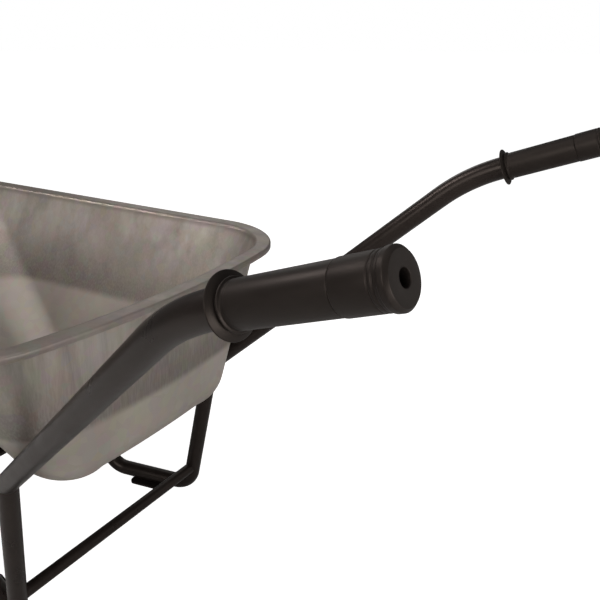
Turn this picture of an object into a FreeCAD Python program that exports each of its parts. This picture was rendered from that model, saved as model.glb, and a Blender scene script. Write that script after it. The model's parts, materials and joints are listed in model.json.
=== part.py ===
import FreeCAD, Part
import math
import os

from FreeCAD import Vector

# A single-wheel builder's wheelbarrow, in millimetres, standing at rest on its wheel and its two feet.
# +X points forward to the wheel, +Y to the left of whoever pushes it, +Z up.
# The origin is on the ground, under the middle of the whole object.

# ---- driving dimensions ----------------------------------------------------------------------------------

LENGTH = 1450.0                 # end of the grips to the front of the nose hoop
GROUND = 0.0
LEFT, RIGHT = 1, -1             # signs of the two sides in Y

# handle tubes
TUBE_R = 15.0
TUBE_WALL = 1.5
COLLAR_X, COLLAR_Y, COLLAR_Z = -594.1, 300.0, 680.0   # where the grip's collar meets the handle tube
GRIP_RISE = 20.1                # degrees that the grips rise towards their free ends
GRIP_TOE = 3.7                  # degrees that the grips spread in plan
STEEP_DROP = 40.8               # degrees that the tube drops beside the tray
TUBE_TOE = 12.0                 # degrees that the tubes close in towards the wheel
HANDLE_BENDS = (252.0, 120.0)   # radii of the bend ahead of the grip and of the one under the tray
HANDLE_BEND_START = 53.0        # from the collar to the corner of the first bend
TUBE_PAST_AXLE = 45.0
PLUG_DEPTH, PLUG_CAP = 8.0, 3.0

# grips
GRIP_LENGTH = 133.6
GRIP_R = 17.4
GRIP_CAP_R = 18.0               # the end part is a little thicker
GRIP_END_R = 18.9               # disc that closes the free end
COLLAR_R = 24.3                 # thin disc that tapers towards its edge
COLLAR_EDGE, COLLAR_T = 1.0, 2.6
RIDGE_R = 19.2                  # second, smaller ring of the collar
RIDGE_START, RIDGE_END = 5.6, 6.8
NECK_R, NECK_START, BODY_START = 17.3, 3.6, 10.4
CAP_LINE, CAP_STEP = 0.70, 0.6  # share of the length where the end part begins, and its step
GROOVE, GROOVE_HALF = 0.6, 0.8  # depth and half width of the fine grooves near the free end
GROOVE_PLACES = (13.0, 9.6)     # from the free end
END_DISC, END_CHAMFER = 6.4, 2.4
GRIP_END_WALL = 7.0
GRIP_HOLE_R = 5.8

# tray
TRAY_TILT = 2.9                 # degrees that the tray and the lower tubes rise forward
TRAY_X, TRAY_Z = -262.4, 522.0  # middle of the rear edge of the rim
TRAY_LENGTH = 830.0
TRAY_DEPTH = 258.0
SHEET = 1.5
RIM_HALF_WIDTH = 341.6          # of the rim's side edges, where they would meet the rear corner
RIM_CORNER_U = 42.0             # how far ahead of the rear edge that is
RIM_LIP = 25.0
RIM_LIP_HEM = 8.0
SIDE_TOE = 9.3                  # degrees that the sides close in towards the front
RIM_CORNER_R = 128.0
FLOOR_CORNER_R = 70.0
REAR_BULGE_R, FLOOR_REAR_R = 1410.0, 2000.0
FRONT_BULGE_R, FLOOR_FRONT_R = 1100.0, 1600.0
REAR_SLOPE, SIDE_SLOPE, FRONT_SLOPE = 2.5, 28.0, 53.0   # wall angles from upright, in degrees
FLOOR_BEND_R = 66.0

# flat bars and stays
BAR_T = 5.0
PLATE_CORNER_R = 10.0           # of the cross bars and foot plates
CROSS_BAR_WIDTH = 50.0
CROSS_BAR_OVERHANG = 18.0       # past the centres of the tubes
REAR_BAR_X, REAR_BAR_BOLT_V = -5.0, 90.0
FRONT_BAR_X, FRONT_BAR_BOLT_V = 70.0, 80.0
STAY_WIDTH = 30.0
STAY_V = 99.0                   # distance of each stay from the middle
STAY_HEEL_X, STAY_TOE_X, STAY_BOLT_X = 362.0, 408.0, 386.0
STAY_TOP_W, STAY_LOW_W = -100.0, -145.0   # its upper tab lies against the tray's front wall
STAY_SEAT_LIFT = 2.5            # a round bolt head stands this far off the curved wall

# legs
LEG_R = 14.0
LEG_WALL = 1.5
LEG_TOP_X, LEG_HEEL_X, LEG_TOE_X, LEG_FRONT_X = -130.0, -69.5, 105.0, 175.0
LEG_BEND_R = 40.0
FOOT_T, FOOT_WIDTH, FOOT_LENGTH = 4.0, 44.0, 80.0
BRACE_R, BRACE_Z = 10.0, 62.0

# wheel and axle
AXLE_X, AXLE_Z = 490.0, 185.0
AXLE_R, AXLE_HALF = 8.0, 82.0
TYRE_R, TYRE_HALF, TREAD_T = 185.0, 46.0, 9.0
BEAD_R, BULGE_R, SHOULDER = 101.0, 146.0, 11.0          # the shoulders lie that far below the crown
BEAD_Y, LIP_Y, SHOULDER_Y = 36.0, 37.0, 38.0
BULGE_IN_R, BULGE_IN_Y, SHOULDER_IN = 144.0, 39.0, 18.0  # the tyre's inside
BEAD_IN_Y, LIP_IN_Y, SHOULDER_IN_Y = 26.0, 29.0, 31.0
HUB_R, HUB_BORE_R, HUB_HALF = 21.0, 16.0, 42.0
BUSH_FIT = 0.05                 # radial running clearance of the bushes on the axle
BUSH_LENGTH, BUSH_FLANGE_R, BUSH_FLANGE_T = 20.0, 20.0, 3.0
SPACER_R, END_PLAY = 12.0, 0.5
RIM_SHEET = 2.0
RIM_EDGE_R, BEAD_SEAT_R, WELL_R, DISH_R = 112.0, 100.0, 90.0, 68.0
RIM_EDGE_Y, BEAD_EDGE_Y, BEAD_INNER_Y, WELL_Y = 39.0, 36.0, 14.0, 12.0
SEAT_TAPER = 2.0
RIM_BOLTS, RIM_BOLT_CIRCLE_R = 4, 52.0
INNER_TUBE_R, INNER_TUBE_HALF, INNER_TUBE_RISE, RUBBER = 138.0, 37.0, 33.0, 2.0
VALVE_Y, VALVE_R, VALVE_ANGLE = 22.0, 4.0, 60.0
VALVE_BASE_R, VALVE_END_R = 113.0, 72.0
CAP_R, CAP_TIP_R, CAP_MOUTH_R = 5.5, 66.0, 80.0

# axle brackets: a flange under the handle tube and a web that carries the axle
WEB_Y, BRACKET_T = 58.0, 5.0
FLANGE_WIDTH, BRACKET_HALF = 42.0, 50.0
WEB_SHOULDER, WEB_TIP_R = 26.0, 21.0
BRACKET_BOLT_X = 22.0           # ahead of and behind the axle
AXLE_WASHER_R, AXLE_WASHER_T = 15.0, 2.5
AXLE_NUT_FLATS, AXLE_NUT_T = 24.0, 13.0

# nose hoop
HOOP_R = 12.5
HOOP_WALL = 1.5
HOOP_REAR_X = 412.0
HOOP_BEND_R = 40.0
HOOP_GAP = 0.3
HOOP_BOLTS_X = (432.0, 492.0)

# M8 fasteners
BOLT_R = 4.0
BOLT_HOLE_R = 4.3
DEEP_DRILL, SHORT_DRILL = 80.0, 15.0   # through a tube, and through a sheet but nothing beyond it
HEX_FLATS = 13.0
NUT_T = 6.5
HEAD_T = 5.3
WASHER_R, WASHER_T = 9.0, 1.6
DOME_R, DOME_T = 9.5, 4.2
BOLT_STUB = 4.0                 # thread that stands past a nut

UP = Vector(0, 0, 1)
ACROSS = Vector(0, 1, 0)


# ---- small helpers ---------------------------------------------------------------------------------------

def save(name, shape):
    shape.exportStep("parts/" + name + ".step")


def save_group(name, solids):
    save(name, Part.makeCompound(solids))


def rod(radius, start, end):
    axis = end.sub(start)
    return Part.makeCylinder(radius, axis.Length, start, axis)


def ring(outer, inner, start, end):
    along = end.sub(start).normalize()
    return rod(outer, start, end).cut(rod(inner, start.sub(along), end.add(along)))


def unit(direction):
    direction = Vector(direction)
    direction.normalize()
    return direction


def turned(profile, start, direction):
    """Solid of revolution from (distance along the axis, radius) points."""
    points = [Vector(radius, 0, along) for along, radius in profile]
    face = Part.Face(Part.makePolygon(points + [points[0]]))
    solid = face.revolve(Vector(0, 0, 0), UP, 360)
    solid.Placement = FreeCAD.Placement(start, FreeCAD.Rotation(UP, direction))
    return solid


def rounded_path(points, bends):
    """Wire through points with its inner corners rounded to the given radii."""
    edges = []
    last = points[0]
    for before, corner, after, bend in zip(points, points[1:], points[2:], bends):
        back = unit(before.sub(corner))
        ahead = unit(after.sub(corner))
        half = back.getAngle(ahead) / 2
        reach = bend / math.tan(half)
        start = corner.add(back * reach)
        end = corner.add(ahead * reach)
        inward = unit(back.add(ahead))
        middle = corner.add(inward * (bend / math.sin(half) - bend))
        edges.append(Part.makeLine(last, start))
        edges.append(Part.Arc(start, middle, end).toShape())
        last = end
    edges.append(Part.makeLine(last, points[-1]))
    return Part.Wire(edges)


def bent_rod(points, bends, radius):
    """Solid round bar along a path with rounded bends."""
    circle = Part.Wire(Part.makeCircle(radius, points[0], points[1].sub(points[0])))
    return rounded_path(points, bends).makePipeShell([circle], True, True)


def bent_tube(points, bends, outer, wall):
    return bent_rod(points, bends, outer).cut(bent_rod(points, bends, outer - wall))


def strip(points, thickness):
    """Closed 2D outline of a bent strip of one thickness whose right-hand side runs along the points."""
    corners = [Vector(a, b, 0) for a, b in points]
    runs = [unit(end.sub(start)) for start, end in zip(corners, corners[1:])]
    offset = []
    for corner, before, after in zip(corners, runs[:1] + runs, runs + runs[-1:]):
        across = Vector(-before.y, before.x, 0)
        middle = unit(across.add(Vector(-after.y, after.x, 0)))
        far = corner.add(middle * (thickness / middle.dot(across)))
        offset.append((far.x, far.y))
    return list(points) + offset[::-1]


def side_plate(outline, y_low, y_high):
    """Plate from an (x, z) outline, extruded across from y_low to y_high."""
    points = [Vector(x, y_low, z) for x, z in outline]
    face = Part.Face(Part.makePolygon(points + [points[0]]))
    return face.extrude(Vector(0, y_high - y_low, 0))


def mirrored(shape):
    return shape.mirror(Vector(0, 0, 0), ACROSS)


# ---- fasteners -------------------------------------------------------------------------------------------

def hexagon(start, direction, thickness, flats=HEX_FLATS):
    corner = flats / math.sqrt(3)
    points = [Vector(corner * math.cos(math.radians(60 * i)), corner * math.sin(math.radians(60 * i)), 0)
              for i in range(7)]
    solid = Part.Face(Part.makePolygon(points)).extrude(Vector(0, 0, thickness))
    solid.Placement = FreeCAD.Placement(start, FreeCAD.Rotation(UP, direction))
    return solid


def nut(start, direction, bore=BOLT_R, thickness=NUT_T, flats=HEX_FLATS):
    """Hexagon nut whose near face is at start and whose body runs along direction."""
    along = unit(direction)
    hole = rod(bore, start.sub(along), start.add(along * (thickness + 1)))
    return hexagon(start, direction, thickness, flats).cut(hole)


def hex_bolt(seat, direction, grip):
    """Hexagon-headed bolt: the head stands behind seat, the shank runs along direction past the grip."""
    along = unit(direction)
    shank = rod(BOLT_R, seat, seat.add(along * (grip + NUT_T + BOLT_STUB)))
    return hexagon(seat.sub(along * HEAD_T), direction, HEAD_T).fuse(shank).removeSplitter()


def dome_bolt(seat, direction, grip):
    """Carriage bolt with a low domed head."""
    sphere_r = (DOME_R ** 2 + DOME_T ** 2) / (2 * DOME_T)
    half = math.asin(DOME_R / sphere_r) / 2
    tip = Vector(0, 0, -DOME_T)
    middle = Vector(sphere_r * math.sin(half), 0, sphere_r * (1 - math.cos(half)) - DOME_T)
    rim = Vector(DOME_R, 0, 0)
    end = grip + NUT_T + BOLT_STUB
    corners = [rim, Vector(BOLT_R, 0, 0), Vector(BOLT_R, 0, end), Vector(0, 0, end), tip]
    edges = [Part.Arc(tip, middle, rim).toShape()] + Part.makePolygon(corners).Edges
    solid = Part.Face(Part.Wire(edges)).revolve(Vector(0, 0, 0), UP, 360)
    solid.Placement = FreeCAD.Placement(seat, FreeCAD.Rotation(UP, direction))
    return solid


def washer(start, direction):
    along = unit(direction)
    return ring(WASHER_R, BOLT_R, start, start.add(along * WASHER_T))


# ---- tray frame ------------------------------------------------------------------------------------------

TRAY_PLACEMENT = FreeCAD.Placement(Vector(TRAY_X, 0, TRAY_Z), FreeCAD.Rotation(ACROSS, -TRAY_TILT))
TRAY_UP = TRAY_PLACEMENT.Rotation.multVec(UP)
TRAY_DOWN = TRAY_UP * -1.0


def on_tray(u, v, w):
    """World point from tray coordinates: u forward along the rim, v to the left, w up from the rim."""
    return TRAY_PLACEMENT.multVec(Vector(u, v, w))


def under_tray(x, y, below_floor):
    """World point below the outside of the tray's floor, at a given world x."""
    tilt = math.radians(TRAY_TILT)
    drop = TRAY_DEPTH + SHEET + below_floor
    z = TRAY_Z - drop / math.cos(tilt) + (x - TRAY_X) * math.tan(tilt)
    return Vector(x, y, z)


# ---- handle tubes ----------------------------------------------------------------------------------------

def heading(drop, toe, side):
    """Unit vector that runs forward, dropping and closing in by the given angles."""
    drop = math.radians(drop)
    toe = math.radians(toe)
    return Vector(math.cos(drop) * math.cos(toe), -side * math.cos(drop) * math.sin(toe), -math.sin(drop))


def collar_point(side):
    return Vector(COLLAR_X, side * COLLAR_Y, COLLAR_Z)


def handle_corner(side):
    return collar_point(side).add(heading(GRIP_RISE, GRIP_TOE, side) * HANDLE_BEND_START)


def tube_y(x, side):
    """Centre line of the handle tube in plan, ahead of its first bend."""
    corner = handle_corner(side)
    return corner.y - side * (x - corner.x) * math.tan(math.radians(TUBE_TOE))


def lower_run(x, side):
    """Centre of the handle tube where it runs under the tray."""
    return under_tray(x, tube_y(x, side), BAR_T + TUBE_R)


def lower_corner(side):
    """Corner between the steep run beside the tray and the run under it."""
    start = handle_corner(side)
    drop = math.tan(math.radians(STEEP_DROP)) / math.cos(math.radians(TUBE_TOE))
    level = lower_run(start.x, side).z
    rise = math.tan(math.radians(TRAY_TILT))
    x = start.x + (start.z - level) / (drop + rise)
    return lower_run(x, side)


def lower_heading(side):
    return unit(lower_run(1, side).sub(lower_run(0, side)))


def handle_path(side):
    grip_axis = heading(GRIP_RISE, GRIP_TOE, side)
    free_end = collar_point(side).sub(grip_axis * (GRIP_LENGTH - GRIP_END_WALL))
    front_end = lower_run(AXLE_X + TUBE_PAST_AXLE, side)
    return [free_end, handle_corner(side), lower_corner(side), front_end]


def solid_handle(side):
    return bent_rod(handle_path(side), HANDLE_BENDS, TUBE_R)


def drill(shape, places, reach=DEEP_DRILL):
    """Bolt holes through a shape, reaching both ways from (point, direction) places."""
    for point, direction in places:
        along = unit(direction) * reach
        shape = shape.cut(rod(BOLT_HOLE_R, point.sub(along), point.add(along)))
    return shape


def handle_tube(side):
    tube = bent_tube(handle_path(side), HANDLE_BENDS, TUBE_R, TUBE_WALL)
    return drill(tube, tube_bolt_places(side))


def tube_end_plug(side):
    """Plastic plug in the front end of a handle tube."""
    along = lower_heading(side)
    end = lower_run(AXLE_X + TUBE_PAST_AXLE, side)
    inside = TUBE_R - TUBE_WALL
    stem = rod(inside, end.sub(along * PLUG_DEPTH), end)
    return stem.fuse(rod(TUBE_R, end, end.add(along * PLUG_CAP))).removeSplitter()


# ---- grips -----------------------------------------------------------------------------------------------

def grip(side):
    """Moulded grip: double collar, slightly thicker end part, fine grooves and a hole in the end disc."""
    end = GRIP_LENGTH
    cap_line = CAP_LINE * end
    disc = [(0, TUBE_R), (0, COLLAR_R), (COLLAR_EDGE, COLLAR_R), (COLLAR_T, (COLLAR_R + NECK_R) / 2)]
    ridge = [(NECK_START, NECK_R), (RIDGE_START, RIDGE_R), (RIDGE_END, RIDGE_R),
             (RIDGE_END + CAP_STEP, NECK_R), (BODY_START, NECK_R)]
    body = [(BODY_START + CAP_STEP, GRIP_R), (cap_line, GRIP_R), (cap_line + CAP_STEP, GRIP_CAP_R)]
    grooves = []
    for place in GROOVE_PLACES:
        middle = end - place
        grooves += [(middle - GROOVE_HALF, GRIP_CAP_R), (middle, GRIP_CAP_R - GROOVE),
                    (middle + GROOVE_HALF, GRIP_CAP_R)]
    cap = [(end - END_DISC - CAP_STEP, GRIP_CAP_R), (end - END_DISC, GRIP_END_R), (end - END_CHAMFER, GRIP_END_R),
           (end, GRIP_END_R - END_CHAMFER)]
    bore = [(end, GRIP_HOLE_R), (end - GRIP_END_WALL, GRIP_HOLE_R), (end - GRIP_END_WALL, TUBE_R)]
    profile = disc + ridge + body + grooves + cap + bore
    backward = heading(GRIP_RISE, GRIP_TOE, side) * -1.0
    return turned(profile, collar_point(side), backward)


# ---- tray ------------------------------------------------------------------------------------------------

def corner_centre(half_width, corner_r, end_u, end_r, toward):
    """Centre of a plan corner arc that touches a tapering side line and a bulging end arc.

    The side line is half_width from the middle at u = 0 and closes in by SIDE_TOE; the end arc passes
    through (end_u, 0) and bulges away from the tray. toward is +1 at the rear end and -1 at the front.
    """
    slope = math.tan(math.radians(SIDE_TOE))
    inner = half_width - corner_r / math.cos(math.radians(SIDE_TOE))
    arc_u = end_u + toward * end_r
    a = 1 + slope ** 2
    b = -2 * (arc_u + inner * slope)
    c = arc_u ** 2 + inner ** 2 - (end_r - corner_r) ** 2
    u = (-b - toward * math.sqrt(b * b - 4 * a * c)) / (2 * a)
    return Vector(u, inner - slope * u, 0), Vector(arc_u, 0, 0)


def tray_outline(half_width, rear_u, front_u, corner_r, rear_r, front_r, w):
    """Closed plan outline at height w: straight sides, rounded corners and bulging ends."""
    toe = math.radians(SIDE_TOE)
    outward = Vector(math.sin(toe), math.cos(toe), 0)
    rear, rear_arc = corner_centre(half_width, corner_r, rear_u, rear_r, 1)
    front, front_arc = corner_centre(half_width, corner_r, front_u, front_r, -1)

    def corner(centre, arc_centre):
        """Start on the side line, middle, and end on the end arc."""
        far = unit(centre.sub(arc_centre))
        return [centre.add(direction * corner_r) for direction in (outward, unit(outward.add(far)), far)]

    side_rear, rear_mid, rear_end = corner(rear, rear_arc)
    side_front, front_mid, front_end = corner(front, front_arc)

    def level(point, mirror=1):
        return Vector(point.x, mirror * point.y, w)

    def arc(a, b, c):
        return Part.Arc(a, b, c).toShape()

    rear_tip = Vector(rear_u, 0, w)
    front_tip = Vector(front_u, 0, w)
    edges = [arc(level(rear_end, -1), rear_tip, level(rear_end)),
             arc(level(rear_end), level(rear_mid), level(side_rear)),
             Part.makeLine(level(side_rear), level(side_front)),
             arc(level(side_front), level(front_mid), level(front_end)),
             arc(level(front_end), front_tip, level(front_end, -1)),
             arc(level(front_end, -1), level(front_mid, -1), level(side_front, -1)),
             Part.makeLine(level(side_front, -1), level(side_rear, -1)),
             arc(level(side_rear, -1), level(rear_mid, -1), level(rear_end, -1))]
    return Part.Wire(edges)


def rim_outline(inset, w):
    """Outline of the rim's edge, moved inwards by inset."""
    toe = math.radians(SIDE_TOE)
    half_width = RIM_HALF_WIDTH + RIM_CORNER_U * math.tan(toe) - inset / math.cos(toe)
    return tray_outline(half_width, inset, TRAY_LENGTH - inset, RIM_CORNER_R - inset,
                        REAR_BULGE_R - inset, FRONT_BULGE_R - inset, w)


def floor_outline(inset, w):
    """Outline where the walls would meet a flat floor at height w, before that corner is bent round."""
    toe = math.radians(SIDE_TOE)
    lip = RIM_LIP + inset
    side = lip - w * math.tan(math.radians(SIDE_SLOPE))
    rear = lip - w * math.tan(math.radians(REAR_SLOPE))
    front = TRAY_LENGTH - lip + w * math.tan(math.radians(FRONT_SLOPE))
    half_width = RIM_HALF_WIDTH + RIM_CORNER_U * math.tan(toe) - side / math.cos(toe)
    return tray_outline(half_width, rear, front, FLOOR_CORNER_R, FLOOR_REAR_R, FLOOR_FRONT_R, w)


def tray_bowl(inset, depth, bend_r):
    """Solid that fills the bowl between the rim plane and the floor."""
    top = rim_outline(RIM_LIP + inset, 0)
    bottom = floor_outline(inset, -depth)
    bowl = Part.makeLoft([top, bottom], True, True)
    floor_edges = [edge for edge in bowl.Edges if edge.BoundBox.ZMax < -depth / 2]
    return bowl.makeFillet(bend_r, floor_edges)


def walls(bowl):
    """Faces of a bowl, without its open top."""
    return [face for face in bowl.Faces if face.BoundBox.ZMin < -SHEET]


def flat_ring(outer_inset, inner_inset, low, high):
    """Upright band between two insets of the rim's outline."""
    height = Vector(0, 0, high - low)
    return Part.Face(rim_outline(outer_inset, low)).extrude(height).cut(
        Part.Face(rim_outline(inner_inset, low)).extrude(height))


def tray():
    """Pressed shell: bowl, flat rim lip and the lip's turned-down hem."""
    outer = tray_bowl(0, TRAY_DEPTH + SHEET, FLOOR_BEND_R + SHEET)
    inner = tray_bowl(SHEET, TRAY_DEPTH, FLOOR_BEND_R)
    ledge = Part.Face([rim_outline(RIM_LIP, 0), rim_outline(RIM_LIP + SHEET, 0)])
    faces = walls(outer) + [face.reversed() for face in walls(inner)] + [ledge]
    bowl = Part.makeSolid(Part.makeShell(faces))
    lip = flat_ring(0, RIM_LIP + SHEET, 0, SHEET)
    hem = flat_ring(0, SHEET, -RIM_LIP_HEM, 0)
    shell = bowl.fuse([lip, hem]).removeSplitter()
    shell.Placement = TRAY_PLACEMENT
    places = [(seat, TRAY_UP) for seat in tray_bolt_seats()]
    places += [(stay_top_seat(side), wall_normal()) for side in (LEFT, RIGHT)]
    return drill(shell, places, SHORT_DRILL)


# ---- places of the bolts ----------------------------------------------------------------------------------

def tray_bolt_seats():
    """Points on the tray's floor, two above each cross bar."""
    seats = []
    for x, v in ((REAR_BAR_X, REAR_BAR_BOLT_V), (FRONT_BAR_X, FRONT_BAR_BOLT_V)):
        floor = under_tray(x, 0, -SHEET)
        seats += [Vector(floor.x, side * v, floor.z) for side in (LEFT, RIGHT)]
    return seats


def cross_bar_bolt_seats():
    """Points on top of the cross bars, above the centres of the handle tubes."""
    seats = []
    for x in (REAR_BAR_X, FRONT_BAR_X):
        seats += [under_tray(x, tube_y(x, side), 0) for side in (LEFT, RIGHT)]
    return seats


def bracket_bolt_seats():
    """Points under the axle brackets' flanges, below the centres of the handle tubes."""
    reach = TUBE_R + BRACKET_T
    seats = []
    for side in (LEFT, RIGHT):
        for step in (-BRACKET_BOLT_X, BRACKET_BOLT_X):
            seats.append(lower_run(AXLE_X + step, side).add(TRAY_DOWN * reach))
    return seats


def stay_bolt_seat(side):
    """Point on top of a stay's lower tab."""
    return lower_run(STAY_BOLT_X, side).add(TRAY_UP * (TUBE_R + BAR_T))


def outward(side):
    """Level direction square to a handle tube, away from the wheel."""
    toe = math.radians(TUBE_TOE)
    return Vector(math.sin(toe), side * math.cos(toe), 0)


def hoop_bolt_seats(side):
    """Points on the outer side of the hoop."""
    reach = TUBE_R + HOOP_GAP + 2 * HOOP_R
    return [lower_run(x, side).add(outward(side) * reach) for x in HOOP_BOLTS_X]


def tube_bolt_places(side):
    """Every bolt hole through one handle tube."""
    upright = [seat for seat in cross_bar_bolt_seats() + bracket_bolt_seats() if seat.y * side > 0]
    upright.append(stay_bolt_seat(side))
    return [(seat, TRAY_UP) for seat in upright] + [(seat, outward(side)) for seat in hoop_bolt_seats(side)]


# ---- cross bars and stays ---------------------------------------------------------------------------------

def cross_bar(x):
    """Flat bar between the tray's floor and the two handle tubes."""
    centre = TRAY_PLACEMENT.inverse().multVec(under_tray(x, 0, 0))
    half = tube_y(x, LEFT) + CROSS_BAR_OVERHANG
    bar = Part.makeBox(CROSS_BAR_WIDTH, 2 * half, BAR_T,
                       Vector(centre.x - CROSS_BAR_WIDTH / 2, -half, centre.z - BAR_T))
    upright = [edge for edge in bar.Edges if edge.BoundBox.ZLength > BAR_T / 2]
    bar = bar.makeFillet(PLATE_CORNER_R, upright)
    bar.Placement = TRAY_PLACEMENT
    places = [seat for seat in tray_bolt_seats() + cross_bar_bolt_seats() if abs(seat.x - x) < CROSS_BAR_WIDTH]
    return drill(bar, [(seat, TRAY_UP) for seat in places])


def front_wall(w, below=0.0):
    """(x, z) of a point on the outside of the tray's front wall where the stays meet it."""
    slope = math.radians(FRONT_SLOPE)
    share = -w / TRAY_DEPTH
    bulge = STAY_V ** 2 / 2 * ((1 - share) / (FRONT_BULGE_R - RIM_LIP) + share / FLOOR_FRONT_R)
    u = TRAY_LENGTH - RIM_LIP - bulge + w * math.tan(slope)
    point = on_tray(u + below * math.cos(slope), 0, w - below * math.sin(slope))
    return point.x, point.z


def wall_normal():
    slope = math.radians(FRONT_SLOPE)
    return TRAY_PLACEMENT.Rotation.multVec(Vector(math.cos(slope), 0, -math.sin(slope)))


def stay_top_seat(side):
    """Point just inside the curved front wall, at the middle of a stay's upper tab."""
    x, z = front_wall((STAY_TOP_W + STAY_LOW_W) / 2, -SHEET - STAY_SEAT_LIFT)
    return Vector(x, side * STAY_V, z)


def front_stay(side):
    """Bent flat strip from the handle tube up to the tray's sloping front wall."""
    feet = []
    for x in (STAY_HEEL_X, STAY_TOE_X):
        foot = lower_run(x, side).add(TRAY_UP * TUBE_R)
        feet.append((foot.x, foot.z))
    outline = strip([front_wall(STAY_TOP_W), front_wall(STAY_LOW_W)] + feet, BAR_T)
    middle = side * STAY_V
    plate = side_plate(outline, middle - STAY_WIDTH / 2, middle + STAY_WIDTH / 2)
    bowl = tray_bowl(0, TRAY_DEPTH + SHEET, FLOOR_BEND_R + SHEET)
    bowl.Placement = TRAY_PLACEMENT
    plate = plate.cut(bowl).cut(solid_handle(side))
    return drill(plate, [(stay_bolt_seat(side), TRAY_UP), (stay_top_seat(side), wall_normal())],
                 SHORT_DRILL)


# ---- legs --------------------------------------------------------------------------------------------------

def steep_run(x, side):
    """Centre of the handle tube where it runs down beside the tray."""
    start = handle_corner(side)
    end = lower_corner(side)
    return start.add(end.sub(start) * ((x - start.x) / (end.x - start.x)))


def leg_path(side):
    level = GROUND + FOOT_T + LEG_R
    return [steep_run(LEG_TOP_X, side),
            Vector(LEG_HEEL_X, tube_y(LEG_HEEL_X, side), level),
            Vector(LEG_TOE_X, tube_y(LEG_TOE_X, side), level),
            lower_run(LEG_FRONT_X, side)]


def leg(side):
    """One tube bent into a loop under the handle tube, its ends shaped to the tube that they are welded to."""
    return bent_tube(leg_path(side), [LEG_BEND_R, LEG_BEND_R], LEG_R, LEG_WALL).cut(solid_handle(side))


def foot_plate(side):
    """Flat pad welded under the level part of the leg."""
    x = (LEG_HEEL_X + LEG_TOE_X) / 2
    plate = Part.makeBox(FOOT_LENGTH, FOOT_WIDTH, FOOT_T, Vector(-FOOT_LENGTH / 2, -FOOT_WIDTH / 2, 0))
    upright = [edge for edge in plate.Edges if edge.BoundBox.ZLength > FOOT_T / 2]
    plate = plate.makeFillet(PLATE_CORNER_R, upright)
    plate.Placement = FreeCAD.Placement(Vector(x, tube_y(x, side), GROUND),
                                        FreeCAD.Rotation(UP, -side * TUBE_TOE))
    return plate


def leg_brace():
    """Level tube between the rear posts of the legs."""
    top, heel = leg_path(LEFT)[:2]
    share = (BRACE_Z - heel.z) / (top.z - heel.z)
    left_end = heel.add(top.sub(heel) * share)
    right_end = Vector(left_end.x, -left_end.y, left_end.z)
    brace = ring(BRACE_R, BRACE_R - LEG_WALL, right_end, left_end)
    for side in (LEFT, RIGHT):
        post, foot = leg_path(side)[:2]
        brace = brace.cut(rod(LEG_R, post, foot))
    return brace


# ---- nose hoop ---------------------------------------------------------------------------------------------

def hoop_point(x, side):
    """Centre line of the hoop's side, beside the handle tube and then ahead of it."""
    sideways = (TUBE_R + HOOP_GAP + HOOP_R) / math.cos(math.radians(TUBE_TOE))
    centre = lower_run(x, side)
    return Vector(centre.x, centre.y + side * sideways, centre.z)


def nose_hoop():
    """Tube that runs round the front of the wheel and takes the ground when the load is tipped."""
    front_x = LENGTH / 2 - HOOP_R
    points = [hoop_point(HOOP_REAR_X, LEFT), hoop_point(front_x, LEFT),
              hoop_point(front_x, RIGHT), hoop_point(HOOP_REAR_X, RIGHT)]
    tube = bent_tube(points, [HOOP_BEND_R, HOOP_BEND_R], HOOP_R, HOOP_WALL)
    for side in (LEFT, RIGHT):
        tube = drill(tube, [(seat, outward(side)) for seat in hoop_bolt_seats(side)])
    return tube


# ---- axle and its brackets ---------------------------------------------------------------------------------

def on_axle(y):
    return Vector(AXLE_X, y, AXLE_Z)


def axle_bracket(side):
    """Bent plate: a flange bolted under the handle tube and a web with the axle's hole."""
    top = lower_run(AXLE_X, LEFT)
    placement = FreeCAD.Placement(Vector(top.x, 0, top.z), FreeCAD.Rotation(ACROSS, -TRAY_TILT))
    hole = placement.inverse().multVec(on_axle(0))
    outline = [(-BRACKET_HALF, -TUBE_R), (BRACKET_HALF, -TUBE_R), (BRACKET_HALF, -WEB_SHOULDER),
               (hole.x + WEB_TIP_R, hole.z), (hole.x - WEB_TIP_R, hole.z), (-BRACKET_HALF, -WEB_SHOULDER)]
    web = side_plate(outline, WEB_Y, WEB_Y + BRACKET_T)
    tip = rod(WEB_TIP_R, Vector(hole.x, WEB_Y, hole.z), Vector(hole.x, WEB_Y + BRACKET_T, hole.z))
    flange = Part.makeBox(2 * BRACKET_HALF, FLANGE_WIDTH, BRACKET_T,
                          Vector(-BRACKET_HALF, WEB_Y, -TUBE_R - BRACKET_T))
    bracket = web.fuse([tip, flange]).removeSplitter()
    bracket.Placement = placement
    bracket = bracket.cut(rod(AXLE_R, on_axle(WEB_Y - 1), on_axle(WEB_Y + BRACKET_T + 1)))
    bracket = drill(bracket, [(seat, TRAY_UP) for seat in bracket_bolt_seats() if seat.y > 0])
    return bracket if side == LEFT else mirrored(bracket)


def axle():
    return rod(AXLE_R, on_axle(-AXLE_HALF), on_axle(AXLE_HALF))


def axle_spacer(side):
    start = HUB_HALF + BUSH_FLANGE_T + END_PLAY
    return ring(SPACER_R, AXLE_R, on_axle(side * start), on_axle(side * WEB_Y))


def axle_washer(side):
    start = WEB_Y + BRACKET_T
    return ring(AXLE_WASHER_R, AXLE_R, on_axle(side * start), on_axle(side * (start + AXLE_WASHER_T)))


def axle_nut(side):
    start = WEB_Y + BRACKET_T + AXLE_WASHER_T
    return nut(on_axle(side * start), ACROSS * side, AXLE_R, AXLE_NUT_T, AXLE_NUT_FLATS)


# ---- wheel -------------------------------------------------------------------------------------------------

def around_axle(face):
    """Revolve a face drawn with x as the radius and z as the distance along the axle."""
    solid = face.revolve(Vector(0, 0, 0), UP, 360)
    solid.Placement = FreeCAD.Placement(on_axle(0), FreeCAD.Rotation(UP, ACROSS))
    return solid


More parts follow.
